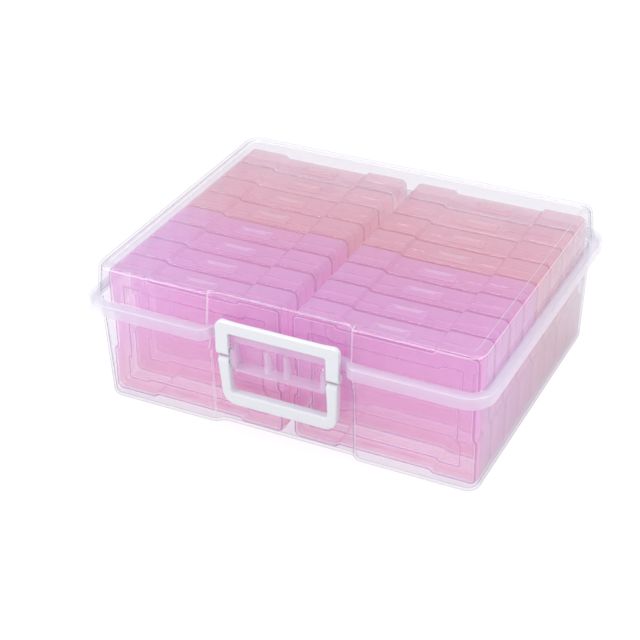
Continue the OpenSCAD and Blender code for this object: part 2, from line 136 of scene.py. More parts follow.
def clear_plastic(name, body, edge, after_ten_walls, milk, edge_milk, roughness=0.08, wave=0.12, bend=3.5,
                  foot=None):
    material, tree = new_material(name)
    place = add_node(tree, "ShaderNodeTexCoord").outputs["Object"]
    waves = add_node(tree, "ShaderNodeTexNoise", Vector=place, Scale=1 / WAVE_LENGTH, Detail=1.0,
                     Roughness=0.4)
    grain = add_node(tree, "ShaderNodeTexNoise", Vector=place, Scale=1 / GRAIN_LENGTH, Detail=2.0,
                     Roughness=0.5)
    waved = add_node(tree, "ShaderNodeBump", Strength=wave, Distance=WAVE_DEPTH, Height=waves.outputs["Fac"])
    polish = add_node(tree, "ShaderNodeMapRange", Value=grain.outputs["Fac"], To_Min=0.7 * roughness,
                      To_Max=1.3 * roughness)

    facing = add_node(tree, "ShaderNodeLayerWeight", Blend=0.5).outputs["Facing"]
    turned = add_node(tree, "ShaderNodeMath", {"operation": "POWER"}, _0=facing, _1=bend)
    rim = add_node(tree, "ShaderNodeMath", {"operation": "POWER"}, _0=facing, _1=RIM_POWER)
    inside = add_node(tree, "ShaderNodeNewGeometry").outputs["Backfacing"]
    outer = add_node(tree, "ShaderNodeMath", {"operation": "SUBTRACT"}, _0=1.0, _1=inside)
    mirror = add_node(tree, "ShaderNodeFresnel", IOR=IOR)
    shine = add_node(tree, "ShaderNodeMath", {"operation": "MULTIPLY"}, _0=mirror.outputs[0],
                     _1=outer.outputs[0])
    milky = add_node(tree, "ShaderNodeMapRange", Value=turned.outputs[0], To_Min=milk, To_Max=edge_milk)
    haze = add_node(tree, "ShaderNodeMath", {"operation": "MULTIPLY"}, _0=milky.outputs[0],
                    _1=outer.outputs[0])

    one_skin = [channel ** (1 / SKINS_IN_TEN_WALLS) for channel in linear(after_ten_walls)]
    body_color = linear(body)
    if foot:
        height = add_node(tree, "ShaderNodeSeparateXYZ", Vector=place)
        rise = add_node(tree, "ShaderNodeMapRange", Value=height.outputs["Z"], From_Min=FOOT_LOW,
                        From_Max=FOOT_HIGH)
        blend = add_node(tree, "ShaderNodeMix", {"data_type": "RGBA"}, _0=rise.outputs[0], _6=linear(foot),
                         _7=body_color)
        body_color = blend.outputs[2]
    tint = add_node(tree, "ShaderNodeMix", {"data_type": "RGBA"}, _0=rim.outputs[0], _6=body_color,
                    _7=linear(edge))
    skin_color = add_node(tree, "ShaderNodeMix", {"data_type": "RGBA"}, _0=rim.outputs[0], _6=one_skin,
                          _7=linear(edge))

    through = add_node(tree, "ShaderNodeBsdfTransparent", Color=skin_color.outputs[2])
    front = add_node(tree, "ShaderNodeBsdfPrincipled", Base_Color=tint.outputs[2], Roughness=0.6, IOR=IOR,
                     Normal=waved.outputs["Normal"])
    back = add_node(tree, "ShaderNodeBsdfTranslucent", Color=tint.outputs[2], Normal=waved.outputs["Normal"])
    scatter = add_node(tree, "ShaderNodeMixShader", _0=0.5, _1=front.outputs[0], _2=back.outputs[0])
    wall = add_node(tree, "ShaderNodeMixShader", _0=haze.outputs[0], _1=through.outputs[0],
                    _2=scatter.outputs[0])
    gloss = add_node(tree, "ShaderNodeBsdfAnisotropic", Color=(1, 1, 1, 1), Roughness=polish.outputs[0],
                     Normal=waved.outputs["Normal"])
    whole = add_node(tree, "ShaderNodeMixShader", _0=shine.outputs[0], _1=wall.outputs[0],
                     _2=gloss.outputs[0])
    add_node(tree, "ShaderNodeOutputMaterial", Surface=whole.outputs[0])
    return material


# %% [markdown]
# The colours are, in this order: the body's scatter, the edge's, and what is left of white light
# after ten walls. The two shares after them say how milky a wall is face on and edge on. The rim
# that stiffens the case is thicker plastic, so it is milkier. Tight bends get a painted highlight:
# a brighter plastic of their own that draws the bright lines lamps leave on them. The small cases
# are tinted pink, and their bends get a painted highlight on the ridge and a painted shade, a deeper
# pink, beside it. The orchid ones grow rosier towards the floor.

# %% Colours of the clear and the pink plastic
# The clear plastic's dark grey edge colour is a painted shade: it draws the grey outlines of walls seen edge
# on.
clear_pp = clear_plastic("clear_polypropylene", "#E2E2FC", "#7C7886", "#D0CCDA", 0.05, 0.50,
                         wave=0.04, bend=2.5)
milky_pp = clear_plastic("milky_polypropylene", "#F6F6FF", "#C0BED0", "#DCD8E6", 0.40, 0.85,
                         roughness=0.12, wave=0.04)
# A painted highlight for the tight bends of the clear plastic.
painted_highlight_pp = clear_plastic("clear_polypropylene_painted_highlight", "#FFFFFF", "#E4E0EC", "#F0ECF4", 0.55, 0.85, wave=0.0)
orchid_pp = clear_plastic("orchid_polypropylene", "#FCCAF4", "#EE90D8", "#F0BAEC", 0.16, 0.80,
                          roughness=0.10, wave=0.02, bend=1.3, foot="#FFCCDC")
# A painted highlight and a painted shade for the bends of the orchid cases.
orchid_painted_highlight = clear_plastic("orchid_polypropylene_painted_highlight", "#FFE6FA", "#F6C8EC", "#F2C0EA", 0.60, 0.80,
                            roughness=0.10, wave=0.0)
orchid_painted_shade = clear_plastic("orchid_polypropylene_painted_shade", "#D488CE", "#CC7CC4", "#D08CCC", 0.55, 0.75,
                            roughness=0.10, wave=0.0)
salmon_pp = clear_plastic("salmon_polypropylene", "#FCD0DA", "#EEA0AC", "#F4C2CE", 0.18, 0.80,
                          roughness=0.10, wave=0.02, bend=1.3)
# A painted highlight and a painted shade for the bends of the salmon cases.
salmon_painted_highlight = clear_plastic("salmon_polypropylene_painted_highlight", "#FFE4E2", "#FACCCA", "#F4C4C8", 0.60, 0.80,
                            roughness=0.10, wave=0.0)
salmon_painted_shade = clear_plastic("salmon_polypropylene_painted_shade", "#DA94A4", "#D08494", "#DC94A4", 0.50, 0.75,
                            roughness=0.10, wave=0.0)
print("clear plastic with", len(clear_pp.node_tree.nodes), "nodes")

# %% [markdown]
# The latch and the handle are the same plastic with white pigment, so they hide what is behind
# them. Pigmented polypropylene has a soft sheen, with a roughness near 0.3 that varies in soft
# clouds, and a fine moulded grain.

# %% White polypropylene
CLOUD_LENGTH = 22 * MM
WHITE_GRAIN = 1.2 * MM
WHITE_GRAIN_DEPTH = 0.08 * MM


def pigmented_plastic(name, body):
    material, tree = new_material(name)
    place = add_node(tree, "ShaderNodeTexCoord").outputs["Object"]
    grain = add_node(tree, "ShaderNodeTexNoise", Vector=place, Scale=1 / WHITE_GRAIN, Detail=3.0,
                     Roughness=0.6)
    cloud = add_node(tree, "ShaderNodeTexNoise", Vector=place, Scale=1 / CLOUD_LENGTH, Detail=2.0)
    sheen = add_node(tree, "ShaderNodeMapRange", Value=cloud.outputs["Fac"], To_Min=0.26, To_Max=0.36)
    bump = add_node(tree, "ShaderNodeBump", Strength=0.12, Distance=WHITE_GRAIN_DEPTH,
                    Height=grain.outputs["Fac"])
    plastic = add_node(tree, "ShaderNodeBsdfPrincipled", Base_Color=linear(body), IOR=IOR,
                       Roughness=sheen.outputs[0], Normal=bump.outputs["Normal"])
    add_node(tree, "ShaderNodeOutputMaterial", Surface=plastic.outputs[0])
    return material


white_pp = pigmented_plastic("white_polypropylene", "#D6D8DC")
print("white plastic with", len(white_pp.node_tree.nodes), "nodes")

# %% [markdown]
# A moulded shell is a closed ribbon of plastic that follows one outline at many heights. It is
# modelled as by hand: a filled circle is added, its points are set on the first outline, and then
# the face is extruded again and again, and each new ring is set on the next outline. The last face
# closes the shell. Each point remembers the number of its ring, so that a ring can be painted later.

# %% Extrude a shell ring by ring
def clear_selection():
    if bpy.context.object and bpy.context.object.mode != "OBJECT":
        bpy.ops.object.mode_set(mode="OBJECT")
    bpy.ops.object.select_all(action="DESELECT")


def mix(a, b, share):
    return a + (b - a) * share


def arc(cx, cy, radius, start, end, steps):
    angles = [math.radians(mix(start, end, i / steps)) for i in range(steps + 1)]
    return [(cx + radius * math.cos(a), cy + radius * math.sin(a)) for a in angles]


def round_edge(radius, steps=5):
    angles = [math.radians(90 * i / steps) for i in range(steps + 1)]
    return [(radius * (1 - math.sin(a)), radius * (1 - math.cos(a))) for a in angles]


def mirrored(points):
    return [(-x, y) for x, y in reversed(points)]


def extrude_rings(name, rings):
    clear_selection()
    bpy.ops.mesh.primitive_circle_add(vertices=len(rings[0]), radius=0.1, fill_type="NGON")
    piece = bpy.context.object
    piece.name = name
    bpy.ops.object.mode_set(mode="EDIT")
    mesh = bmesh.from_edit_mesh(piece.data)
    mesh.verts.ensure_lookup_table()
    layer = mesh.verts.layers.int.new("ring")
    current = list(range(len(rings[0])))
    for index, point in zip(current, rings[0]):
        mesh.verts[index].co = point
        mesh.verts[index][layer] = 1
    for number, ring in enumerate(rings[1:], 2):
        bpy.ops.mesh.extrude_region_move()
        mesh = bmesh.from_edit_mesh(piece.data)
        mesh.verts.index_update()
        mesh.verts.ensure_lookup_table()
        nearby = [[e.other_vert(mesh.verts[i]) for e in mesh.verts[i].link_edges] for i in current]
        current = [next(v.index for v in found if v.select) for found in nearby]
        layer = mesh.verts.layers.int["ring"]
        for index, point in zip(current, ring):
            mesh.verts[index].co = point
            mesh.verts[index][layer] = number
    bpy.ops.mesh.select_all(action="SELECT")
    bpy.ops.mesh.normals_make_consistent(inside=False)
    bpy.ops.object.mode_set(mode="OBJECT")
    return piece


def prism_x(name, x0, x1, outline):
    rings = [[(x, y, z) for y, z in outline] for x in (x0, x1)]
    return extrude_rings(name, rings)


# %% [markdown]
# Small parts start as a block or a round bar of their real size. They are joined to others, added
# to them or cut out of them, and bevelled. A modifier does that work and is then applied, so that
# nothing is left to change when the piece is copied.

# %% Blocks, bars, joins, cuts and bevels
def block(name, low, high):
    clear_selection()
    middle = [(a + b) / 2 for a, b in zip(low, high)]
    bpy.ops.mesh.primitive_cube_add(size=1, location=middle)
    piece = bpy.context.object
    piece.name = name
    piece.scale = [b - a for a, b in zip(low, high)]
    bpy.ops.object.transform_apply(location=True, rotation=True, scale=True)
    return piece


def bar(name, x0, x1, y, z, radius, sides=48):
    clear_selection()
    bpy.ops.mesh.primitive_cylinder_add(vertices=sides, radius=radius, depth=x1 - x0,
                                        location=((x0 + x1) / 2, y, z), rotation=(0, math.radians(90), 0))
    piece = bpy.context.object
    piece.name = name
    bpy.ops.object.transform_apply(location=True, rotation=True, scale=True)
    return piece


def apply_modifier(piece, kind, **settings):
    modifier = piece.modifiers.new(kind.lower(), kind)
    for name, value in settings.items():
        setattr(modifier, name, value)
    clear_selection()
    bpy.context.view_layer.objects.active = piece
    bpy.ops.object.modifier_apply(modifier=modifier.name)


def bevel_edges(piece, width, segments=2):
    apply_modifier(piece, "BEVEL", width=width, segments=segments, limit_method="ANGLE",
                   angle_limit=math.radians(40), harden_normals=False)


def cut_or_add(piece, other, operation):
    apply_modifier(piece, "BOOLEAN", operation=operation, solver="EXACT", object=other)
    bpy.data.objects.remove(other, do_unlink=True)


def even_normals(piece):
    apply_modifier(piece, "WEIGHTED_NORMAL", keep_sharp=True)


def join_pieces(pieces, name):
    clear_selection()
    for piece in pieces:
        piece.select_set(True)
    bpy.context.view_layer.objects.active = pieces[0]
    bpy.ops.object.join()
    pieces[0].name = name
    return pieces[0]


# %% [markdown]
# A finished piece has its place in its mesh, is smooth but for its sharp edges, and has a material.
# Faces of chosen rings then get a second material: a milkier plastic for a rim, or a painted highlight or a
# painted shade for a bend.

# %% Finish and paint a piece
def finish_piece(piece, material, sharp_angle=35):
    clear_selection()
    piece.select_set(True)
    bpy.context.view_layer.objects.active = piece
    bpy.ops.object.transform_apply(location=True, rotation=True, scale=True)
    bpy.ops.object.shade_smooth_by_angle(angle=math.radians(sharp_angle))
    piece.data.materials.clear()
    piece.data.materials.append(material)
    return piece


def paint(piece, material, chosen):
    piece.data.materials.append(material)
    slot = len(piece.data.materials) - 1
    rings = piece.data.attributes["ring"].data
    faces = [f for f in piece.data.polygons
             if len(f.vertices) == 4 and chosen(f.center, min(rings[v].value for v in f.vertices))]
    for face in faces:
        face.material_index = slot
    print(piece.name, len(faces), "faces in", material.name)

# %% [markdown]
# The clear shells share one outline: a rectangle with round corners and a shallow recess in its
# front, whose ends run in soft S curves. Each curve is two equal arcs, and the depth of the recess
# says how far they turn. The sizes come from the boxes of the CAD pieces where a box shows them.

# %% Outline of the clear shells
base_low, base_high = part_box("outer_base")
lid_low, lid_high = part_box("outer_lid")
BEND_R = 8 * MM
RECESS_HALF = 56 * MM
LEAST_RECESS = 0.05 * MM
LEAST_CORNER = 1.2 * MM
CORNER_STEPS = 14
BEND_STEPS = 9


def shell_outline(half, front, back, corner, recess, z, inset=0.0):
    turn = math.degrees(math.acos(1 - max(recess - front, LEAST_RECESS) / (2 * BEND_R)))
    reach = RECESS_HALF + 2 * BEND_R * math.sin(math.radians(turn))
    bow = max(corner - inset, LEAST_CORNER)
    side, low, high = half - inset - bow, front + inset + bow, back - inset - bow
    right = arc(RECESS_HALF, recess - BEND_R, BEND_R + inset, 90, 90 - turn, BEND_STEPS)
    right += arc(reach, front + BEND_R, BEND_R - inset, -90 - turn, -90, BEND_STEPS)
    right += arc(side, low, bow, -90, 0, CORNER_STEPS)
    right += arc(side, high, bow, 0, 90, CORNER_STEPS)
    return [(x, y, z) for x, y in mirrored(right) + right]


print("the lid reaches", round((base_high.z - lid_low.z) / MM, 1), "mm below the base's rim")

# %% [markdown]
# The outer base is a tub with walls 2 mm thick that lean out a little, so that it leaves its mould.
# Near the rim a flange runs round it, which the lid's skirt hangs over. The wall behind the latch
# leans back more steeply at the top, so the rings lie closer together where that lean starts and
# ends. One extruded ribbon makes all of it: up the outside, over the rim and down the inside.

# %% Sizes of the tub
RIM_Z = base_high.z
WALL = 2 * MM
FLOOR = 2.4 * MM
TUB_LOW = {"half": 168.6 * MM, "front": -133.7 * MM, "back": 133.5 * MM}
TUB_HIGH = {"half": 171.2 * MM, "front": -139.2 * MM, "back": 139.0 * MM}
TUB_CORNER = 11.5 * MM
TUB_FILLET, FLOOR_FILLET = 4 * MM, 2.5 * MM
TUB_LEVELS = [z * MM for z in (20, 42, 62, 65, 67, 76, 87, 89)]
SLOPE_LOW, SLOPE_HIGH = 66 * MM, 88 * MM
RECESS_LOW, RECESS_MID, RECESS_HIGH = -128.2 * MM, -129.5 * MM, -136.2 * MM
RECESS_END = (63.2 * MM, 64.6 * MM)
FLANGE_HALF = base_high.x
FLANGE_FRONT = base_low.y
FLANGE_BACK = 147.1 * MM
FLANGE_CORNER = 19.3 * MM
FLANGE_T = 2 * MM
FLANGE_Z = RIM_Z - 4 * MM
EDGE = 0.5 * MM


def recess_at(z):
    if z < SLOPE_LOW:
        return mix(RECESS_LOW, RECESS_MID, z / SLOPE_LOW)
    if z < SLOPE_HIGH:
        return mix(RECESS_MID, RECESS_HIGH, (z - SLOPE_LOW) / (SLOPE_HIGH - SLOPE_LOW))
    return RECESS_HIGH


def tub_ring(z, inset=0.0):
    share = z / RIM_Z
    size = [mix(TUB_LOW[k], TUB_HIGH[k], share) for k in ("half", "front", "back")]
    return shell_outline(*size, TUB_CORNER, recess_at(z), z, inset)


def flange_ring(z, inset=0.0):
    return shell_outline(FLANGE_HALF, FLANGE_FRONT, FLANGE_BACK, FLANGE_CORNER, RECESS_HIGH, z, inset)


print("tub:", 2 * TUB_LOW["half"] / MM, "mm wide at its floor and", 2 * TUB_HIGH["half"] / MM, "at its rim")

# %% Outer base
tub_rings = [tub_ring(rise, inset) for inset, rise in round_edge(TUB_FILLET)]
tub_rings += [tub_ring(z) for z in TUB_LEVELS]
tub_rings += [tub_ring(FLANGE_Z - 0.6 * MM), tub_ring(FLANGE_Z, -0.6 * MM)]
tub_rings += [flange_ring(FLANGE_Z, EDGE), flange_ring(FLANGE_Z + EDGE)]
tub_rings += [flange_ring(FLANGE_Z + FLANGE_T - EDGE), flange_ring(FLANGE_Z + FLANGE_T, EDGE)]
tub_rings += [tub_ring(FLANGE_Z + FLANGE_T, -0.3 * MM), tub_ring(RIM_Z - EDGE), tub_ring(RIM_Z, EDGE)]
tub_rings += [tub_ring(RIM_Z, WALL - EDGE), tub_ring(RIM_Z - EDGE, WALL)]
tub_rings += [tub_ring(z, WALL) for z in reversed(TUB_LEVELS)]
tub_rings += [tub_ring(FLOOR + rise, WALL + inset) for inset, rise in reversed(round_edge(FLOOR_FILLET, 4))]
tub = extrude_rings("tub", tub_rings)
print("tub:", len(tub.data.vertices), "points in", len(tub_rings), "rings")

# %% [markdown]
# Small moulded parts sit on the tub: two lugs with the pins that the latch and the handle turn on,
# a shelf with two ribs between them, and at the back the ears that hold the lid's hinge pins.
# They are outlines extruded sideways, and bevelled so that their edges catch light. Each reaches
# half way into the wall that carries it.

# %% Sizes of the pins and what holds them
PINS_Y = -140.5 * MM
LATCH_Z, HANDLE_Z = 82 * MM, 72.5 * MM
PIN_R = 2.2 * MM
PIN_FIT = 0.08 * MM
LUG_IN, LUG_OUT = 38.5 * MM, 42.5 * MM
LUG_R = 3 * MM
LUG_PIN = 8 * MM
LUG_TOP = SLOPE_HIGH - EDGE
SHELF_HALF = 40 * MM
SHELF_Z = 66 * MM
SHELF_FOOT = SHELF_Z - 2.5 * MM
RIB_T = 3 * MM
RIB_PLACES = (-12 * MM, 5 * MM)
RIB_FRONT = PINS_Y + 2 * MM
HINGE_X = 110 * MM
HINGE_Y, HINGE_Z = 145.5 * MM, 84 * MM
HINGE_PIN_R = 2 * MM
EAR_T = 3 * MM
EAR_R = 4.2 * MM
EAR_GAP = 0.5 * MM
BARREL_HALF = 17 * MM
FINE_BEVEL = 0.4 * MM


def lug(side):
    wall_low, wall_high = recess_at(SHELF_Z) + WALL / 2, recess_at(SLOPE_HIGH) + WALL / 2
    outline = [(wall_low, SHELF_FOOT), (wall_high, LUG_TOP), (PINS_Y + 1 * MM, LUG_TOP)]
    outline += arc(PINS_Y, LATCH_Z, LUG_R, 90, 180, 8)
    outline += arc(PINS_Y, HANDLE_Z, LUG_R, 180, 225, 5)
    outline += [(PINS_Y + 1 * MM, SHELF_FOOT)]
    low, high = sorted((side * LUG_IN, side * LUG_OUT))
    piece = prism_x("lug", low, high, outline)
    bevel_edges(piece, EDGE)
    return piece


def rib(x):
    low, high = SHELF_Z - 1 * MM, SLOPE_HIGH - 0.3 * MM
    outline = [(RIB_FRONT, low), (recess_at(SLOPE_LOW) + WALL / 2, low), (RECESS_HIGH + WALL / 2, high),
               (RIB_FRONT, high)]
    piece = prism_x("rib", x - RIB_T / 2, x + RIB_T / 2, outline)
    bevel_edges(piece, FINE_BEVEL)
    return piece


def ear(x):
    wall = TUB_HIGH["back"] - WALL / 2
    outline = arc(HINGE_Y, HINGE_Z, EAR_R, -90, 60, 14)
    outline += [(HINGE_Y, FLANGE_Z + EDGE), (wall, FLANGE_Z + EDGE), (wall, HINGE_Z - 4 * MM)]
    piece = prism_x("ear", x, x + EAR_T, outline)
    bevel_edges(piece, FINE_BEVEL)
    return piece


print("lugs", round((LUG_TOP - SHELF_FOOT) / MM, 1), "mm high")

# %% Lugs, shelf, ribs, ears and pins
fittings = [lug(1), lug(-1)]
shelf_back = recess_at(SHELF_Z) + WALL / 2
shelf = block("shelf", (-SHELF_HALF, PINS_Y, SHELF_FOOT), (SHELF_HALF, shelf_back, SHELF_Z))
bevel_edges(shelf, EDGE)
fittings += [shelf] + [rib(x) for x in RIB_PLACES]
ear_places = (HINGE_X - BARREL_HALF - EAR_GAP - EAR_T, HINGE_X + BARREL_HALF + EAR_GAP)
hinge_reach = BARREL_HALF + EAR_GAP + 0.1 * MM
for side in (-1, 1):
    low, high = sorted((side * (LUG_OUT - 0.2 * MM), side * (LUG_OUT + LUG_PIN)))
    fittings += [bar("pin", low, high, PINS_Y, z, PIN_R) for z in (LATCH_Z, HANDLE_Z)]
    fittings += [ear(x if side > 0 else -x - EAR_T) for x in ear_places]
    low, high = side * HINGE_X - hinge_reach, side * HINGE_X + hinge_reach
    fittings.append(bar("hinge_pin", low, high, HINGE_Y, HINGE_Z, HINGE_PIN_R))
print(len(fittings), "fittings on the tub")

# %% [markdown]
# The flange is milky, as thick plastic is, and so are the fittings. The ends of the recess are
# tight bends from top to bottom, and each gets a painted highlight, a bright upright line.

# %% Plastic of the outer base
def on_recess_end(at):
    return at.y < -110 * MM and RECESS_END[0] < abs(at.x) < RECESS_END[1]


tub = finish_piece(tub, clear_pp)
paint(tub, milky_pp, lambda at, ring: FLANGE_Z - 0.7 * MM < at.z < FLANGE_Z + 2.4 * MM)
# A painted highlight on the ends of the recess.
paint(tub, painted_highlight_pp, lambda at, ring: on_recess_end(at) and at.z > 6 * MM)
base_fittings = finish_piece(join_pieces(fittings, "base_fittings"), milky_pp)
for piece in (tub, base_fittings):
    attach(piece, "base")
    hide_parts("outer_base")

# %% [markdown]
# The outer lid is a shallow dome with a top sunk inside a narrow border. A ledge runs round its
# foot and turns down into a skirt 11 mm high. It is one ribbon again, from the middle of the top,
# over the border, down the wall, round the skirt and back up inside.

# %% Sizes of the lid
LID_WALL = 2.2 * MM
TOP_Z = lid_high.z
UNDER_Z = TOP_Z - LID_WALL
SINK = 1.2 * MM
BORDER = 9 * MM
TOP_CORNER = 6 * MM
DRAFT = 2.6 * MM
LEDGE_LOW = RIM_Z + 0.3 * MM
LEDGE_HIGH = LEDGE_LOW + LID_WALL
SKIRT_LOW = LEDGE_HIGH - 11 * MM
SKIRT_EDGE = 0.6 * MM
SKIRT_FILLET = 1.3 * MM
DOME_HALF = 173.5 * MM
DOME_FRONT, DOME_BACK = -141.5 * MM, 141.3 * MM
DOME_RECESS = 6.5 * MM
DOME_FILLET = 3.5 * MM
DOME_CORNER = 14 * MM
DOME_LEVELS = (118 * MM, 109 * MM)
SKIRT_OUT = lid_high.x - FLANGE_HALF
SKIRT_BACK = FLANGE_BACK + SKIRT_OUT


def dome_ring(z, inset=0.0):
    draw = DRAFT * (z - LEDGE_LOW) / (TOP_Z - LEDGE_LOW)
    return shell_outline(DOME_HALF - draw, DOME_FRONT + draw, DOME_BACK - draw, DOME_CORNER,
                         DOME_FRONT + DOME_RECESS + draw / 2, z, inset)


def skirt_ring(z, inset=0.0):
    return flange_ring(z, inset - SKIRT_OUT)


def top_ring(z, border):
    inset = DRAFT + border
    return shell_outline(DOME_HALF - inset, DOME_FRONT + inset, DOME_BACK - inset, TOP_CORNER,
                         DOME_FRONT + inset, z)


print("lid: ledge at", round(LEDGE_HIGH / MM, 1), "mm, skirt down to", round(SKIRT_LOW / MM, 1), "mm")

# %% [markdown]
# The rings where the lid bends are noted as they are made: the border's inner edge, the fillet
# round the top, the fillet of the ledge and the skirt's lower edge. They get the brighter plastic
# afterwards, a painted highlight for the thin bright lines that light draws on these bends.

# %% Outer lid
sunk = TOP_Z - SINK
lid_rings = [top_ring(sunk, BORDER + 1.6 * MM), top_ring(sunk, BORDER + 0.9 * MM)]
lid_rings += [top_ring(sunk + 0.3 * MM, BORDER + 0.5 * MM), top_ring(TOP_Z - 0.3 * MM, BORDER)]
lid_rings += [top_ring(TOP_Z, BORDER - 0.5 * MM)]
# These rings get a painted highlight later.
highlight_rings = [3, 4, len(lid_rings) + 4]
lid_rings += [dome_ring(TOP_Z - drop, inset) for inset, drop in round_edge(DOME_FILLET, 6)]
lid_rings += [dome_ring(z) for z in (*DOME_LEVELS, LEDGE_HIGH + 2 * MM)]
lid_rings += [dome_ring(LEDGE_HIGH + 0.6 * MM, -0.2 * MM), dome_ring(LEDGE_HIGH, -0.8 * MM)]
lid_rings += [skirt_ring(LEDGE_HIGH - drop, inset) for inset, drop in round_edge(SKIRT_FILLET, 4)]
highlight_rings += [len(lid_rings) - 2, len(lid_rings) + 2]
lid_rings += [skirt_ring(SKIRT_LOW + 4 * MM), skirt_ring(SKIRT_LOW + SKIRT_EDGE)]
lid_rings += [skirt_ring(SKIRT_LOW, SKIRT_EDGE), skirt_ring(SKIRT_LOW, LID_WALL - SKIRT_EDGE)]
lid_rings += [skirt_ring(SKIRT_LOW + SKIRT_EDGE, LID_WALL), skirt_ring(LEDGE_LOW - SKIRT_EDGE, LID_WALL)]
lid_rings += [skirt_ring(LEDGE_LOW, LID_WALL + SKIRT_EDGE)]
lid_rings += [dome_ring(LEDGE_LOW, LID_WALL - 0.5 * MM), dome_ring(LEDGE_LOW + 0.8 * MM, LID_WALL)]
lid_rings += [dome_ring(z, LID_WALL) for z in (*reversed(DOME_LEVELS), UNDER_Z - 2 * MM)]
lid_rings += [dome_ring(UNDER_Z - 0.6 * MM, LID_WALL + 0.6 * MM), dome_ring(UNDER_Z, LID_WALL + 2 * MM)]
lid_rings += [top_ring(UNDER_Z, BORDER - LID_WALL), top_ring(UNDER_Z - SINK, BORDER - LID_WALL + 0.5 * MM)]
dome = extrude_rings("dome", lid_rings)
print("lid:", len(dome.data.vertices), "points in", len(lid_rings), "rings")

# %% [markdown]
# Two barrels under the lid's back edge snap over the hinge pins. Each is an open ring in cross
# section, extruded sideways, with a tongue up into the skirt. The slot below lets it snap on.

# %% Lid hinge barrels
BARREL_R = 4.5 * MM
BORE_R = HINGE_PIN_R + PIN_FIT
SLOT_HALF = 1.3 * MM


def barrel(middle):
    slot = math.degrees(math.asin(SLOT_HALF / BORE_R))
    outer_slot = math.degrees(math.asin(SLOT_HALF / BARREL_R))
    inner_face = SKIRT_BACK - LID_WALL
    outline = arc(HINGE_Y, HINGE_Z, BARREL_R, -90 + outer_slot, 20, 12)
    outline += [(SKIRT_BACK, HINGE_Z + 2.4 * MM), (SKIRT_BACK, LEDGE_LOW), (inner_face, LEDGE_LOW),
                (inner_face, HINGE_Z + 4.4 * MM)]
    outline += arc(HINGE_Y, HINGE_Z, BARREL_R, 75, 270 - outer_slot, 20)
    outline += arc(HINGE_Y, HINGE_Z, BORE_R, 270 - slot, -90 + slot, 28)
    return prism_x("barrel", middle - BARREL_HALF, middle + BARREL_HALF, outline)


barrels = join_pieces([barrel(-HINGE_X), barrel(HINGE_X)], "lid_barrels")
barrels = finish_piece(barrels, clear_pp)
dome = finish_piece(dome, clear_pp)
paint(dome, milky_pp, lambda at, ring: SKIRT_LOW - 1 * MM < at.z < LEDGE_HIGH + 0.4 * MM)
# The noted bends and the ends of the recess get a painted highlight.
paint(dome, painted_highlight_pp, lambda at, ring: ring in highlight_rings or on_recess_end(at) and at.z > LEDGE_HIGH)
for piece in (dome, barrels):
    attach(piece, "lid")
    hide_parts("outer_lid")

# %% [markdown]
# The latch frame is a white bridge over the front of the lid, and the carry handle a thicker one
# that hangs below it. A moulded frame like this has one section that travels up an arm, round the
# corner, along the bar and down again, so it is extruded that way, with a rounded rectangle as its
# section. Each station of the way is written once for the right half and mirrored for the left.
# Both frames start at round eyes, where they turn on their pins, and the holes are cut at the end.

# %% Frames that travel along a way
ARM_X = 43.5 * MM
BOSS_R = 4 * MM
EYE_ANGLES = (11, 24, 38, 52, 66, 80, 90)
EYE_BORE = 7.5 * MM


def section(inner, outer, front, back, radius):
    start, along = Vector(inner), Vector(outer) - Vector(inner)
    wide = along.length
    along.normalize()
    r = min(radius, 0.48 * wide, 0.48 * (back - front))
    corners = [(wide - r, back - r, 0), (r, back - r, 90), (r, front + r, 180), (wide - r, front + r, 270)]
    points = []
    for across, deep, angle in corners:
        points += arc(across, deep, r, angle, angle + 90, 5)
    return [(start.x + along.x * across, y, start.y + along.y * across) for across, y in points]


def bracket(name, stations, radius):
    right = [section(*station, radius) for station in stations]
    left = [[(-x, y, z) for x, y, z in ring] for ring in reversed(right)]
    return extrude_rings(name, right + left)


def eye_stations(outer, z, way):
    turns = [math.radians(a) for a in EYE_ANGLES]
    return [((ARM_X, z + way * BOSS_R * math.cos(a)), (outer, z + way * BOSS_R * math.cos(a)),
             PINS_Y - BOSS_R * math.sin(a), PINS_Y + BOSS_R * math.sin(a)) for a in turns]


def with_bores(piece, z):
    for side in (-1, 1):
        low, high = sorted((side * (ARM_X - 2 * MM), side * (ARM_X + EYE_BORE)))
        cut_or_add(piece, bar("bore", low, high, PINS_Y, z, PIN_R + PIN_FIT), "DIFFERENCE")
    return piece


print("eyes", 2 * BOSS_R / MM, "mm across on pins of", 2 * PIN_R / MM, "mm")

# %% [markdown]
# Seen from the side, an arm of the latch is deep round its eye, narrows above it and grows deep
# again towards the corner. ARM_DEPTHS says so as pairs: the height over the pin and the depth there,
# in millimetres. A lip on the bar's back hooks over the lid's ledge.

# %% Latch frame
latch_low, latch_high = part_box("latch_frame")
LATCH_HALF = latch_high.x
LATCH_TOP = latch_high.z
LATCH_FRONT = latch_low.y
LATCH_BACK = LATCH_FRONT + 5 * MM
LATCH_CORNER, LATCH_INNER = 5.5 * MM, 2 * MM
BAR_LOW = LATCH_Z + 18 * MM
LIP_HALF = 39.5 * MM
ARM_DEPTHS = ((1, 7.8), (2, 7.4), (3, 6.6), (4, 5.4), (5.5, 4.6), (9, 4.4), (12, 4.6), (15, 5.6))

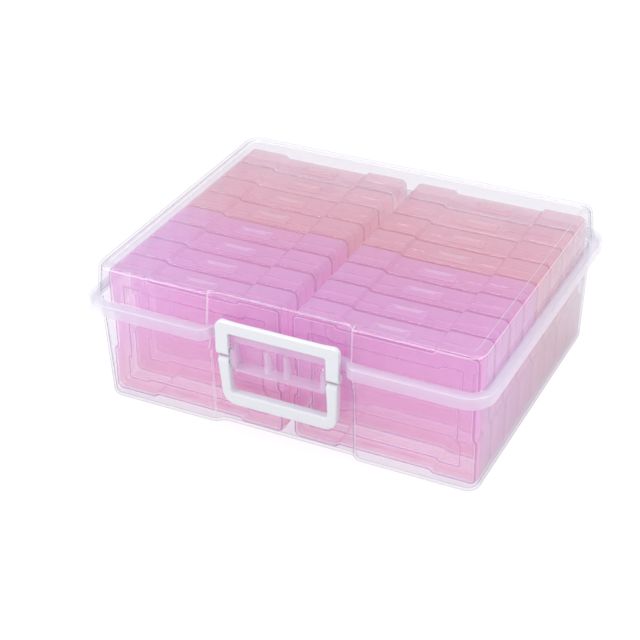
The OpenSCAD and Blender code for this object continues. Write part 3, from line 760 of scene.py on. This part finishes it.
stations = eye_stations(LATCH_HALF, LATCH_Z, -1)
for rise, deep in ARM_DEPTHS:
    z = LATCH_Z + rise * MM
    stations.append(((ARM_X, z), (LATCH_HALF, z), LATCH_FRONT, LATCH_FRONT + deep * MM))
inner_corner = arc(ARM_X - LATCH_INNER, BAR_LOW - LATCH_INNER, LATCH_INNER, 0, 90, 10)
outer_corner = arc(LATCH_HALF - LATCH_CORNER, LATCH_TOP - LATCH_CORNER, LATCH_CORNER, 0, 90, 10)
stations += [(a, b, LATCH_FRONT, LATCH_BACK + 1 * MM) for a, b in zip(inner_corner, outer_corner)]
bar_x = ARM_X - 3.5 * MM
stations.append(((bar_x, BAR_LOW), (bar_x, LATCH_TOP), LATCH_FRONT, LATCH_BACK))
latch = bracket("latch_frame_looks", stations, 0.9 * MM)
lip = block("lip", (-LIP_HALF, LATCH_BACK - 0.5 * MM, LEDGE_HIGH + 0.3 * MM),
            (LIP_HALF, LATCH_BACK + 3.2 * MM, LEDGE_HIGH + 3.3 * MM))
bevel_edges(lip, EDGE)
cut_or_add(latch, lip, "UNION")
latch = finish_piece(with_bores(latch, LATCH_Z), white_pp, 30)
even_normals(latch)
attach(latch, "latch")
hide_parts("latch_frame")
print("latch box in mm:", [round(v / MM, 1) for v in latch.dimensions])

# %% [markdown]
# The carry handle has wide outer corners and arms that taper a little. It leans in towards the case
# by four degrees, so it is modelled upright and turned about its pins at the end.

# %% Carry handle
HANDLE_HALF = 53.4 * MM
HANDLE_TAPER = 1.9 * MM
HANDLE_LOW = HANDLE_Z - 42 * MM
HANDLE_CORNER, HANDLE_INNER = 12 * MM, 3 * MM
HANDLE_FRONT, HANDLE_BACK = PINS_Y - BOSS_R, PINS_Y + BOSS_R
GRIP_LOW, GRIP_HIGH = HANDLE_LOW, HANDLE_LOW + 12 * MM
LEAN = math.radians(4)

stations = eye_stations(HANDLE_HALF, HANDLE_Z, 1)
foot_x = HANDLE_HALF - HANDLE_TAPER - HANDLE_CORNER
inner_corner = arc(ARM_X - HANDLE_INNER, GRIP_HIGH + HANDLE_INNER, HANDLE_INNER, 0, -90, 14)
outer_corner = arc(foot_x, GRIP_LOW + HANDLE_CORNER, HANDLE_CORNER, 0, -90, 14)
stations += [(a, b, HANDLE_FRONT, HANDLE_BACK) for a, b in zip(inner_corner, outer_corner)]
grip_x = ARM_X - 5 * MM
stations.append(((grip_x, GRIP_HIGH), (grip_x, GRIP_LOW), HANDLE_FRONT, HANDLE_BACK))
handle = with_bores(bracket("carry_handle_looks", stations, 1.6 * MM), HANDLE_Z)
clear_selection()
handle.select_set(True)
bpy.context.view_layer.objects.active = handle
bpy.ops.object.mode_set(mode="EDIT")
bpy.ops.mesh.select_all(action="SELECT")
bpy.ops.transform.rotate(value=-LEAN, orient_axis="X", center_override=(0, PINS_Y, HANDLE_Z))
bpy.ops.object.mode_set(mode="OBJECT")
handle = finish_piece(handle, white_pp, 30)
even_normals(handle)
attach(handle, "handle")
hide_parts("carry_handle")
print("handle box in mm:", [round(v / MM, 1) for v in handle.dimensions])

# %% [markdown]
# Every inner case is two trays that close on each other. Their outline has four corner sections
# that stand proud of the middle of each edge, with soft steps between. Both halves are modelled
# once, at the place of the first case, from that outline, and copied to the other places.

# %% Outline of an inner case
CASE_HALF = 80.5 * MM
CASE_H = 119 * MM
CASE_T = 30.4 * MM
CASE_WALL = 1.8 * MM
CASE_FACE = 2 * MM
CASE_CORNER = 6 * MM
SECTION_WIDE, SECTION_TALL = 38 * MM, 41 * MM
STEP = 2.8 * MM
STEP_R = 2.6 * MM
SEAM = 13 * MM
TONGUE_HALF = 24 * MM
TONGUE = 3.5 * MM


def rotated(vector, angle):
    c, s = math.cos(angle), math.sin(angle)
    return Vector((c * vector.x - s * vector.y, s * vector.x + c * vector.y))


def rounded(before, corner, after, radius, steps):
    a, b = (Vector(p) - Vector(corner) for p in (before, after))
    half = a.angle(b) / 2
    radius = min(radius, 0.45 * min(a.length, b.length) * math.tan(half))
    reach = radius / math.tan(half)
    a.normalize()
    b.normalize()
    start, end = Vector(corner) + a * reach, Vector(corner) + b * reach
    centre = Vector(corner) + (a + b).normalized() * (radius / math.sin(half))
    first, last = start - centre, end - centre
    sweep = first.angle_signed(last)
    return [tuple(centre + rotated(first, -sweep * i / steps)) for i in range(steps + 1)]


def case_outline(inset):
    shift = inset * math.tan(math.radians(22.5))
    half, top = CASE_HALF - inset, CASE_H - inset
    x = CASE_HALF - SECTION_WIDE + shift
    low, high = SECTION_TALL - shift, CASE_H - SECTION_TALL + shift
    proud, hollow = max(STEP_R - inset, 0.8 * MM), STEP_R + inset
    big = max(CASE_CORNER - inset, 1.5 * MM)
    corners = [((x - STEP, inset + STEP), hollow), ((x, inset), proud), ((half, inset), big),
               ((half, low), proud), ((half - STEP, low + STEP), hollow),
               ((half - STEP, high - STEP), hollow), ((half, high), proud),
               ((half, top), big), ((x, top), proud), ((x - STEP, top - STEP), hollow)]
    points = [(0, inset + STEP)] + [corner for corner, radius in corners] + [(0, top - STEP)]
    right = []
    for i, (corner, radius) in enumerate(corners):
        steps = 8 if corner in ((half, inset), (half, top)) else 4
        right += rounded(points[i], corner, points[i + 2], radius, steps)
    right += [(TONGUE_HALF + 0.2 * MM, top - STEP), (TONGUE_HALF, top - STEP)]
    return right + mirrored(right), len(right)


def case_ring(y, inset, tongue=0.0):
    outline, half_count = case_outline(inset)
    on_tongue = (half_count - 1, half_count)
    return [(x, y - (tongue if i in on_tongue else 0.0), z) for i, (x, z) in enumerate(outline)]


print("an inner case's outline has", len(case_outline(0.0)[0]), "points")

# %% [markdown]
# The back half is the deeper tray. Its ribbon starts on the sunk panel of its outer face, runs over
# the rounded edge and along the side to the seam, round the lip that enters the other half, and
# back inside. In the middle of the top the seam steps forward, which makes the tongue. The front
# half is made the same way, the other way round, with a rebate that the lip enters.

# %% Halves of an inner case
PANEL_IN = 15 * MM
PANEL_SINK = 0.8 * MM
FACE_FILLET = 2.2 * MM
LIP_HIGH, LIP_IN = 3 * MM, 1 * MM
SEAM_FIT = 0.15 * MM
KNUCKLE_R = 1.2 * MM
KNUCKLE_L = 8 * MM
SOFT = 0.3 * MM


def face_rings(outer, direction):
    rings = [case_ring(outer + direction * PANEL_SINK, PANEL_IN + 0.8 * MM),
             case_ring(outer + direction * 0.15 * MM, PANEL_IN + 0.2 * MM),
             case_ring(outer, PANEL_IN - 0.9 * MM), case_ring(outer, 3.1 * MM)]
    return rings + [case_ring(outer + direction * rise, inset) for inset, rise in round_edge(FACE_FILLET, 4)]


def inner_rings(outer, direction):
    inner = outer + direction * CASE_FACE
    return [case_ring(inner + direction * 1.2 * MM, CASE_WALL), case_ring(inner, CASE_WALL + 1.2 * MM)]


def knuckles(start, first, last):
    parts = []
    for side in (-1, 1):
        low, high = sorted((side * start, side * (start + KNUCKLE_L)))
        parts.append(bar("knuckle", low, high, SEAM, STEP / 2, KNUCKLE_R, 20))
        parts.append(block("knuckle", (low, first, STEP / 2), (high, last, STEP + 0.9 * MM)))
    return parts


back_rings = face_rings(CASE_T, -1)
back_rings += [case_ring(SEAM + 0.9 * MM, 0.0, TONGUE), case_ring(SEAM + SOFT, 0.0, TONGUE)]
back_rings += [case_ring(SEAM, SOFT, TONGUE), case_ring(SEAM, LIP_IN, TONGUE)]
back_rings += [case_ring(SEAM - LIP_HIGH, LIP_IN, 0.5 * MM), case_ring(SEAM - LIP_HIGH, CASE_WALL, 0.5 * MM)]
back_rings += [case_ring(SEAM, CASE_WALL)] + inner_rings(CASE_T, -1)

rebate_low, rebate_in = SEAM - LIP_HIGH - SOFT, LIP_IN - SEAM_FIT
front_rings = face_rings(0.0, 1)
front_rings += [case_ring(SEAM - SEAM_FIT - SOFT, 0.0, TONGUE), case_ring(SEAM - SEAM_FIT, SOFT, TONGUE)]
front_rings += [case_ring(SEAM - SEAM_FIT, rebate_in, TONGUE), case_ring(rebate_low, rebate_in, 0.4 * MM)]
front_rings += [case_ring(rebate_low, CASE_WALL, 0.4 * MM)] + inner_rings(0.0, 1)

case_body = extrude_rings("case_body", back_rings)
case_body = join_pieces([case_body] + knuckles(10 * MM, SEAM, SEAM + 1.2 * MM), "case_body")
case_lid = extrude_rings("case_lid", front_rings)
print("inner case:", len(back_rings), "rings at the back,", len(front_rings), "at the front")

# %% [markdown]
# A flat tab with a low ridge crosses the seam in the recessed middle of the top and keeps the case
# shut. A thumb lifts it at the ridge. It is a bevelled plate with a root in the front half. The
# bends beside the edges get a painted highlight and a painted shade, ring by ring, and the top of
# the tab gets the painted highlight too.

# %% Latch tab of an inner case
TAB_HALF = 16.5 * MM
TAB_Z = CASE_H - STEP
TAB_FRONT, TAB_BACK = SEAM - 8 * MM, SEAM + 4 * MM
RIDGE_HALF, RIDGE_DEEP = 10 * MM, 0.75 * MM
# Rings that get a painted highlight, and rings that get a painted shade.
HIGHLIGHT_RINGS, SHADE_RINGS = (1, 4), (2, 5, 6)

tab = block("tab", (-TAB_HALF, TAB_FRONT, TAB_Z + 0.15 * MM), (TAB_HALF, TAB_BACK, TAB_Z + 1.75 * MM))
root = block("root", (-TAB_HALF, TAB_FRONT, TAB_Z - 0.9 * MM), (TAB_HALF, SEAM - 3.8 * MM, TAB_Z + 1.2 * MM))
ridge = block("ridge", (-RIDGE_HALF, SEAM - RIDGE_DEEP, TAB_Z + 1.4 * MM),
              (RIDGE_HALF, SEAM + RIDGE_DEEP, TAB_Z + 2.4 * MM))
cut_or_add(tab, root, "UNION")
cut_or_add(tab, ridge, "UNION")
bevel_edges(tab, 0.45 * MM, 3)
parts = [case_lid, tab] + knuckles(18.3 * MM, SEAM - 1.2 * MM, SEAM - SEAM_FIT)
case_lid = join_pieces(parts, "case_lid")
halves = {"body": finish_piece(case_body, orchid_pp), "lid": finish_piece(case_lid, orchid_pp)}
# A painted highlight and a painted shade on the bends, and a painted highlight on the tab's top.
for half in halves.values():
    paint(half, orchid_painted_highlight, lambda at, ring: ring in HIGHLIGHT_RINGS)
    paint(half, orchid_painted_shade, lambda at, ring: ring in SHADE_RINGS)
paint(halves["lid"], orchid_painted_highlight, lambda at, ring: ring == 0 and at.z > TAB_Z + 1.6 * MM)
print("inner case:", len(case_body.data.vertices) + len(case_lid.data.vertices), "points")

# %% [markdown]
# Sixteen cases stand in two columns of eight. The CAD box of each node says where its half goes.
# The four front rows are orchid pink, and the four back rows are a dustier salmon pink. Real tinted
# plastic passes part of the light on. Here the cases are hidden from shadow rays instead, so the
# lamps reach the rows behind at full strength, and the cases throw no shadow on the floor either.

# %% Sixteen inner cases
ORCHID_ROWS = 4
# Slot by slot: the salmon plastic, its painted highlight, its painted shade, and the painted highlight of
# the tab's top.
SALMON = (salmon_pp, salmon_painted_highlight, salmon_painted_shade, salmon_painted_highlight)


def place_half(half, column, row):
    case = f"case_{column}{row}"
    node = f"{case}_{half}"
    low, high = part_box(node)
    copy = halves[half].copy()
    copy.data = copy.data.copy()
    copy.name = f"{node}_looks"
    bpy.context.collection.objects.link(copy)
    front = low.y if half == "lid" else high.y - CASE_T
    copy.data.transform(Matrix.Translation(((low.x + high.x) / 2, front, low.z)))
    if row > ORCHID_ROWS:
        for slot, material in zip(range(len(copy.data.materials)), SALMON):
            copy.data.materials[slot] = material
    copy.visible_shadow = False
    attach(copy, case)
    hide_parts(node)
    return copy


placed = [place_half(half, column, row) for column in "lr" for row in range(1, 9) for half in halves]
for template in halves.values():
    bpy.data.objects.remove(template, do_unlink=True)
print(len(placed), "halves placed")

# %% [markdown]
# A catalogue picture stands on endless white. The floor is a plain pale plane. Seen straight by the
# camera it glows just enough to look white, and it still takes the soft shadow of the clear case,
# the latch and the handle. The room is a plain pale light of its own. The camera, and light that
# the milky walls pass on, see white in its place, but reflections see the pale room.

# %% Floor and background
FLOOR_SIZE = 12
FLOOR_DROP = 0.4 * MM


def seen_straight(tree):
    path = add_node(tree, "ShaderNodeLightPath")
    return add_node(tree, "ShaderNodeMath", {"operation": "MAXIMUM"}, _0=path.outputs["Is Camera Ray"],
                    _1=path.outputs["Is Transmission Ray"])


clear_selection()
bpy.ops.mesh.primitive_plane_add(size=FLOOR_SIZE, location=(0, 0, -FLOOR_DROP))
floor = bpy.context.object
floor.name = "floor"
floor_material, tree = new_material("pale_floor")
matte = add_node(tree, "ShaderNodeBsdfDiffuse", Color=(0.8, 0.8, 0.8, 1))
faint = add_node(tree, "ShaderNodeBsdfDiffuse", Color=(0.3, 0.3, 0.3, 1))
glow = add_node(tree, "ShaderNodeEmission", Color=(1, 1, 1, 1), Strength=0.72)
seen = add_node(tree, "ShaderNodeAddShader", _0=faint.outputs[0], _1=glow.outputs[0])
straight = seen_straight(tree)
mixed = add_node(tree, "ShaderNodeMixShader", _0=straight.outputs[0], _1=matte.outputs[0],
                 _2=seen.outputs[0])
add_node(tree, "ShaderNodeOutputMaterial", Surface=mixed.outputs[0])
floor.data.materials.append(floor_material)

world = bpy.data.worlds.new("studio")
bpy.context.scene.world = world
world.use_nodes = True
tree = world.node_tree
tree.nodes.clear()
straight = seen_straight(tree)
room = add_node(tree, "ShaderNodeBackground", Color=(0.97, 0.97, 1.0, 1), Strength=0.67)
white = add_node(tree, "ShaderNodeBackground", Color=(1, 1, 1, 1), Strength=1.0)
mixed = add_node(tree, "ShaderNodeMixShader", _0=straight.outputs[0], _1=room.outputs[0],
                 _2=white.outputs[0])
add_node(tree, "ShaderNodeOutputWorld", Surface=mixed.outputs[0])
print("floor", round(floor.dimensions.x, 1), "m wide, in a plain room")

# %% [markdown]
# Three large soft lamps light the case: a broad one overhead, one from the front left and one from
# the right. A narrow strip over the front adds a thin bright line along the edges. Each has its
# place, the point it aims at, its two sides in metres and its power in watts.

# %% Lamps
def soft_lamp(name, place, aim, size, power):
    data = bpy.data.lights.new(name, "AREA")
    data.shape = "RECTANGLE"
    data.size, data.size_y = size
    data.energy = power
    lamp = bpy.data.objects.new(name, data)
    bpy.context.collection.objects.link(lamp)
    lamp.location = place
    lamp.rotation_euler = (Vector(aim) - Vector(place)).to_track_quat("-Z", "Y").to_euler()
    print("lamp", name, "of", power, "W")


soft_lamp("overhead", (0.1, 0.3, 1.9), (0, 0, 0.05), (1.6, 1.4), 18)
soft_lamp("front_left", (-1.5, -1.4, 1.0), (0, 0, 0.08), (1.2, 1.0), 17)
soft_lamp("right", (1.8, -0.4, 0.9), (0, 0, 0.06), (1.0, 1.0), 15)
soft_lamp("strip", (-0.5, -0.6, 1.3), (0, 0, 0.1), (1.6, 0.08), 4)

# %% [markdown]
# A look through the whole case meets several dozen walls, and each counts as a bounce for the
# renderer, so it is allowed many see-through bounces and few of the other kinds.

# %% Render limits
scene = bpy.context.scene
scene.view_settings.view_transform = "Standard"
scene.cycles.transparent_max_bounces = 96
scene.cycles.max_bounces = 16
scene.cycles.diffuse_bounces = 8
scene.cycles.glossy_bounces = 4
scene.cycles.caustics_reflective = False
scene.cycles.caustics_refractive = False
print("up to", scene.cycles.transparent_max_bounces, "see-through skins")
